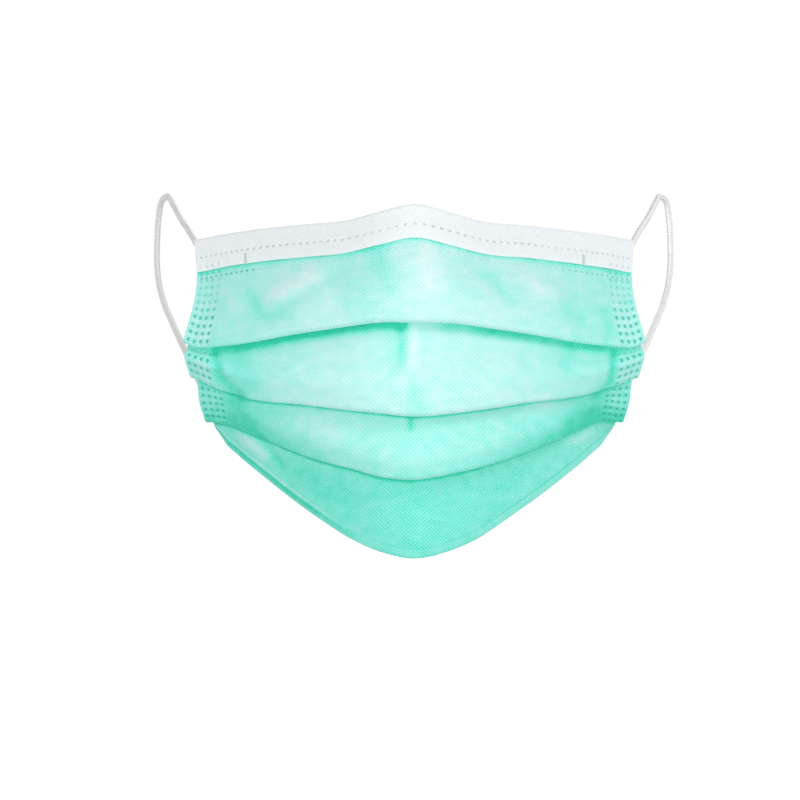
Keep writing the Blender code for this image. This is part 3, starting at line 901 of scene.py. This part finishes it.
# %% [markdown]
# The mint cloth adds the painted shade (depth) to its web. Two finer things are added too: a
# painted shade for the low ribs between the rows of side dots, deeper on each row and a painted
# highlight on the ribs between them, and the hem, whose strip and raw edge show through the cloth
# above the bottom edge, most of all on the left, where the line of its edge is a painted highlight.

# %% Mint nonwoven
HEM_LINE = 2.9
HEM_STITCH = 1.5


def painted_rib_shade(recipe):
    """Return the painted shade of the low ribs between the rows of side dots: 1 on a row and -1, a
    painted highlight, between two.
    """
    edge, down, shown = recipe.parts("weld")
    wave = recipe.math("COSINE", recipe.times(down, 2 * np.pi / ROW_PITCH))
    return recipe.times(wave, recipe.between(edge, 12.0, 10.0), shown)


def hem_tone(recipe):
    """Return the hem's deeper strip and raw-edge line, which is a painted highlight at the left."""
    off, x, _ = recipe.parts("hem")
    left = recipe.between(x, -10.0, -40.0)
    right = recipe.between(x, 10.0, 45.0, 0.09, 0.22)
    edge_line, stitch_line = [
        recipe.between(recipe.math("ABSOLUTE", recipe.less(off, at)), 0.6, 0.1)
        for at in (HEM_LINE, HEM_STITCH)]
    strip = recipe.times(recipe.between(off, HEM_LINE + 0.2, HEM_LINE - 0.3),
                         recipe.less(recipe.times(left, 0.26), 0.03))
    # The edge line is deeper at the middle and the right, and at the left a painted highlight.
    edge = recipe.times(edge_line, recipe.less(right, recipe.times(left, 0.44)))
    return recipe.add(strip, edge, recipe.times(stitch_line, left, 0.22))


def mint_look():
    """Make the dyed outer nonwoven."""
    recipe, web = nonwoven("mint_outer_nonwoven", 0.86)
    # The tone is the painted shade (depth), the web's own clouds, fibres and bonds, the painted rib
    # shade and highlight, and the hem.
    tone = recipe.add(recipe.value("depth"), recipe.times(recipe.less(web.clouds, 0.5), 0.42),
                      recipe.times(recipe.less(web.fibres, 0.5), 0.22),
                      recipe.times(web.bonds, 0.23), recipe.times(painted_rib_shade(recipe), 0.09),
                      hem_tone(recipe))
    colour = recipe.ramp(tone, (
        (0.0, (0.74, 0.93, 0.92)), (0.25, (0.53, 0.90, 0.86)), (0.5, (0.31, 0.87, 0.77)),
        (0.75, (0.15, 0.84, 0.67)), (1.0, (0.02, 0.68, 0.45))))
    return recipe.finish(recipe.blend(recipe.times(web.pressed, 0.72), colour, (0.03, 0.42, 0.32)))


mint = mint_look()
print("materials:", mint.name, binding_white.name, inner_white.name, elastic.name)

# %% [markdown]
# ## The two plies
#
# The laminate shows a dyed ply in front and a white one behind. Each is a closed thin sheet: a
# front skin, a back skin, and a rim of faces all round. A Solidify modifier could thicken a
# single skin, but the two plies have to share every dent and fold, so both skins are worked out
# from the same middle rows.

# %% Closed sheets
def sheet_piece(name, front, back, look, values, crease_angle=1.1):
    """Make a sheet between two skins with its rim closed. Both skins carry the values."""
    rows, columns = front.shape[:2]
    skin = rows * columns
    faces = grid_faces(rows, columns)
    index = np.arange(skin).reshape(rows, columns)
    rim = np.concatenate((index[0, :-1], index[:-1, -1], index[-1, :0:-1], index[:0:-1, 0]))
    following = np.roll(rim, -1)
    border = np.stack((rim, following, following + skin, rim + skin), axis=1)
    return mesh_piece(name, np.concatenate((front.reshape(-1, 3), back.reshape(-1, 3))),
                      np.concatenate((faces, faces[:, ::-1] + skin, border)), look,
                      {key: np.concatenate([value.reshape(skin, -1).squeeze()] * 2)
                       for key, value in values.items()}, crease_angle)


def ply(name, columns, outer_at, inner_at, look, values):
    """Make one ply between two depths, measured outwards from the middle of the cloth."""
    pick = np.s_[:, columns]
    middle = cloth.middle[pick] + cloth.outward[pick] * height_mm[pick][:, :, None] / 1000
    front, back = [middle + cloth.facing[pick] * at for at in (outer_at, inner_at)]
    return sheet_piece(name, front, back, look, {key: value[pick] for key, value in values.items()})

# %% [markdown]
# The outer ply carries its values at every point: the flat place for the web, the weld place for
# the side dots, the painted shade (depth), and the row of dots just below the binding. That row
# is clear near both ends and only faint between them. The hem's values say how far a point lies
# above the bottom edge. The inner ply needs half as many points across.

# %% Outer and inner ply
PLY_GAP = 0.00016
down_mm = 1000 * cloth.flat_down
shown = (1.0 - panel_mask("fold", "hidden", "hem")) * dotted_part
shown *= np.interp(weld_mm - BOUND_LENGTH, (0.0, 6.0, 12.0, 16.0), (0.5, 0.35, 0.4, 1.0))[:, None]
for line_index, clear_from in ((1, 1.9), (2, 0.6)):
    clearance = below_line(line_index)
    shown = shown * np.where(clearance < -0.4, 1.0, np.clip(clearance - clear_from, 0.0, 1.0))
clear = np.interp(across_mm, (-66.0, -62.0, -56.0, 50.0, 62.0, 68.0),
                  (1.0, 1.0, 0.2, 0.15, 0.6, 0.7))
values = {"flat": per_point(across_mm, down_mm, 0.0),
          "weld": per_point(edge_mm, weld_mm[:, None], shown),
          "row": row_place(across_mm, down_mm, LOWER_WELD_LINE, clear * panel_mask("nose"))}
inner = ply("inner_ply", slice(None, None, 2), -PLY_GAP / 2, -CLOTH_WALL / 2, inner_white, values)
# The outer ply also carries the painted shade, as depth.
values["depth"] = depth
values["hem"] = per_point(np.where(panel_mask("chin") > 0, above_bottom, 99.0), x_mm, 0.0)
outer = ply("outer_ply", slice(None), CLOTH_WALL / 2, PLY_GAP / 2, mint, values)

# %% [markdown]
# ## The binding
#
# A strip of white nonwoven is folded over the top edge and welded along its middle with one row
# of dots. The soft nose wire inside it ends at two short stop marks. The strip follows the same
# run as the cloth, a little further out, and its own stations are closer together so that each
# dot is a dent.

# %% Binding
BINDING_STATIONS = 400
BINDING_LEG_ROWS = 20
BINDING_LINE = 0.55 * BOUND_LENGTH
STOP_SHARE = 0.69
STOP_HALF = 0.42
SIDE_DOT_SHARE = 0.71
DENT_DEPTH = 0.24
SNUG = 0.22


def binding_rows(stations):
    """Return the middle rows of the folded strip from its front edge over the top to its back."""
    body = FoldedCloth(stations)
    body.lay_top()
    shares = [body.top_share * step / BINDING_LEG_ROWS for step in range(BINDING_LEG_ROWS + 1)]
    leg = np.array(run(*body.top_run, shares))
    out = facing_of(leg)
    start_down = unit(np.gradient(leg, axis=0))[0]
    bend = turn(leg[0], out[0], -start_down, BINDING_REACH, FOLD_ROWS)
    out = out * BINDING_REACH
    return np.array([*(leg + out)[::-1], *bend, *(leg - out)[1:]])


def binding():
    """Make the white strip over the top edge."""
    stations = np.linspace(-1.0, 1.0, BINDING_STATIONS + 1)
    middle = binding_rows(stations)
    facing = -facing_of(middle)
    leg = np.arange(BINDING_LEG_ROWS, -1, -1) / BINDING_LEG_ROWS
    share = np.concatenate((leg, np.zeros(FOLD_ROWS), -leg[::-1][1:]))[:, None]
    over = np.abs(share)
    across, down = stations * TOP_HALF, over * BOUND_LENGTH
    edge = TOP_HALF - np.abs(across)
    stop = np.clip(2.0 - np.abs(np.abs(across) - stop_distance()) / STOP_HALF, 0.0, 1.0)
    mark = stop * (share > STOP_SHARE)
    dots = side_dots(edge, down) * (over > SIDE_DOT_SHARE)
    dent = DENT_DEPTH * np.maximum(np.maximum(dotted(across, down, BINDING_LINE), mark), dots)
    wall = 0.75 - 0.45 * over**6
    lift = (0.05 * np.sin(across / 2.9) * over - dent - SNUG
            - (0.375 - wall / 2) - 0.08 * over**6)
    front, back = [middle + facing * (lift + half)[:, :, None] / 1000
                   for half in (wall / 2, -wall / 2)]
    shown = 0.55 * np.clip((over - 0.70) / 0.03, 0.0, 1.0)
    clear = 0.75 + 0.25 * np.sin(across / 7.0) * np.cos(across / 17.0)
    values = {"flat": per_point(across, share * BOUND_LENGTH, 0.0),
              "row": row_place(across, down, BINDING_LINE, clear),
              "weld": per_point(edge, down, shown), "stop_mark": mark}
    return sheet_piece("folded_binding", front[::-1], back[::-1], binding_white,
                       {key: value[::-1] for key, value in values.items()})


strip = binding()

# %% [markdown]
# ## The pressed ends of the loops
#
# Each end of the elastic is pressed flat by the same kind of tool and welded to the inner side of
# a corner. A pad with rounded corners and a waffle of small dents says this better than a plain
# block.

# %% Pressed ends
LOOP_END_LENGTH = 0.0065
LOOP_END_HEIGHT = 0.0040
LOOP_END_WALL = 0.0010
LOOP_END_INSET = 0.0016
TOP_END_DROP = 0.0022
LOWER_END_DROP = 0.0010
END_COLUMNS = 40
END_ROWS = 26


def end_stations(side, line):
    """Return the stations over which a pressed end lies, left for -1 and right for 1."""
    outer = LOOP_END_INSET / half_length(line)
    inner = (LOOP_END_INSET + LOOP_END_LENGTH) / half_length(line)
    return np.sort(side * (1.0 - np.linspace(outer, inner, END_COLUMNS + 1)))


def top_end_surface(side):
    """Return the cloth's middle under the upper end of one side."""
    body = FoldedCloth(end_stations(side, LINES[0]))
    body.lay_top()
    reach = np.linalg.norm(body.top_run[2] - body.top_run[0], axis=1, keepdims=True)
    shares = [drop / reach for drop in
              np.linspace(TOP_END_DROP, TOP_END_DROP + LOOP_END_HEIGHT, END_ROWS + 1)]
    return np.array(run(*body.top_run, shares))


def lower_end_surface(side):
    """Return the cloth's middle under the lower end of one side."""
    body = FoldedCloth(end_stations(side, LINES[-1])).build()
    way = body.down[-2]
    start = body.bottom_run[0] - way * (LOOP_END_HEIGHT - LOWER_END_DROP)
    return np.array([start, *straight(start, way, LOOP_END_HEIGHT, END_ROWS)])


def pressed_end(name, surface, depth):
    """Make one flattened end, `depth` behind the middle of the cloth."""
    facing = facing_of(surface)
    rows, columns = surface.shape[:2]
    v, u = np.meshgrid(np.linspace(-1, 1, rows), np.linspace(-1, 1, columns), indexing="ij")
    bulge = np.clip(1.0 - (np.abs(u)**6 + np.abs(v)**6), 0.0, 1.0)**0.35
    waffle = 0.5 + 0.5 * np.cos(5 * np.pi * u) * np.cos(3 * np.pi * v)
    half = LOOP_END_WALL / 2 * (0.15 + 0.85 * bulge) * (1.0 - 0.22 * waffle * bulge)
    squeeze = 1.0 - 0.14 * np.abs(u)**4
    centre = surface.mean(axis=0, keepdims=True)
    shaped = centre + (surface - centre) * squeeze[:, :, None] - facing * depth
    skin = facing * half[:, :, None]
    return sheet_piece(name, shaped + skin, shaped - skin, elastic,
                       {"yarn": per_point(3 * v, 3 * u, 0.0)}, crease_angle=0.9)


top_depth = BINDING_REACH + (BINDING_WALL + LOOP_END_WALL) / 2 + LAYER_GAP
lower_depth = (CLOTH_WALL + LOOP_END_WALL) / 2 + LAYER_GAP
ends_of = {}
for name, side in SIDES:
    ends_of[side] = (pressed_end(f"pressed_end_{name}_top", top_end_surface(side), top_depth),
                     pressed_end(f"pressed_end_{name}_lower", lower_end_surface(side), lower_depth))

# %% [markdown]
# ## Which piece stands for which solid
#
# Every piece rides on the one body of the model and stands for the plain solid that it dresses.
# The flat mask is 175 mm wide and, with its pleats open, about 165 mm long.

# %% Pieces and the model
def dress(piece, slot, *nodes):
    """Let a piece ride on the model and stand for its solids."""
    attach(piece, "root")
    if nodes:
        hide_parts(*nodes)


dress(outer, "mint_nonwoven", "pleated_body")
dress(inner, "white_nonwoven")
dress(strip, "white_nonwoven", "top_binding")
for name, side in SIDES:
    loop, route = loops[side]
    dress(loop, "white_elastic", f"ear_loop_{name}")
    for piece, place in zip(ends_of[side], ("top", "lower")):
        dress(piece, "white_elastic", f"loop_end_{name}_{place}")

# %% [markdown]
# ## Light and surroundings
#
# The look is that of a bright product photograph: a white surround gives an even light from all
# sides. Four large soft lamps add to it: one above at the right, which leaves a soft green shade
# under each fold, a weaker one at the left, a low one in front and one behind, which shines
# through the cloth. A large dome is only the white background, and a pale floor that lets light
# through lies below the mask. Both are made by turning a line.

# %% Surroundings
FLOOR_DROP = 0.06
FLOOR_RADIUS = 3.0
DOME_RADIUS = 7.0


def plain_look(name, colour, glow):
    """Make a matt surface with a very faint mottling, and a glow for the background."""
    recipe = Recipe(name, 0.9)
    mottle = recipe.noise(recipe.step("TexCoord", {}, "Object"), 3.0)
    recipe.shader.inputs["Emission Color"].default_value = (1.0, 1.0, 1.0, 1.0)
    recipe.shader.inputs["Emission Strength"].default_value = glow
    return recipe.finish(recipe.ramp(mottle, ((0.3, colour), (0.7, [c * 0.99 for c in colour]))))


def turned(name, radii, heights, sides, look):
    """Make a surface by turning a line, given by its radii and heights."""
    angle = np.linspace(0, 2 * np.pi, sides, endpoint=False)
    points = per_point(np.outer(radii, np.cos(angle)), np.outer(radii, np.sin(angle)), heights)
    faces = grid_faces(len(radii), sides, closed=True)
    return mesh_piece(name, points.reshape(-1, 3), faces, look)


low = min(corner[2] for corner in cad_box)
floor = turned("pale_floor", np.linspace(0.0001, FLOOR_RADIUS, 24), low - FLOOR_DROP, 96,
               plain_look("pale_floor", (0.88, 0.89, 0.89), 0.62))
floor.visible_diffuse = floor.visible_shadow = False
tilt = np.linspace(0.01, np.pi - 0.01, 32)
backdrop = turned("white_backdrop", DOME_RADIUS * np.sin(tilt),
                  DOME_RADIUS * np.cos(tilt)[:, None], 64,
                  plain_look("white_backdrop", (0.0, 0.0, 0.0), 1.0))
for ray in ("diffuse", "glossy", "shadow", "transmission"):
    setattr(backdrop, f"visible_{ray}", False)

# %% Lights
WORLD_STRENGTH = 0.515
LAMP_AIM = (0.0, 0.0, -0.05)
LAMPS = (("key_lamp", (0.9, -1.45, 1.3), 1.0, 11.0), ("left_lamp", (-1.5, -1.0, 0.2), 1.2, 7.0),
         ("front_lamp", (0.55, -1.95, -0.4), 1.0, 17.6), ("back_lamp", (0.6, 1.8, 1.0), 1.0, 18.0))

world = bpy.data.worlds.new("even_light")
world.use_nodes = True
sky = world.node_tree.nodes["Background"].inputs
sky["Color"].default_value = (1.0, 1.0, 1.0, 1.0)
sky["Strength"].default_value = WORLD_STRENGTH
bpy.context.scene.world = world
bpy.context.scene.view_settings.view_transform = "Standard"
for name, place, size, power in LAMPS:
    light = bpy.data.lights.new(name, "AREA")
    light.shape = "SQUARE"
    light.size = size
    light.energy = power
    lamp = bpy.data.objects.new(name, light)
    bpy.context.scene.collection.objects.link(lamp)
    lamp.location = place
    way = unit(np.array(LAMP_AIM) - np.array(place))
    lamp.rotation_euler = (np.arccos(-way[2]), 0.0, np.arctan2(way[0], -way[1]) + np.pi)
print("lamps:", ", ".join(f"{name} {power} W" for name, _, _, power in LAMPS))
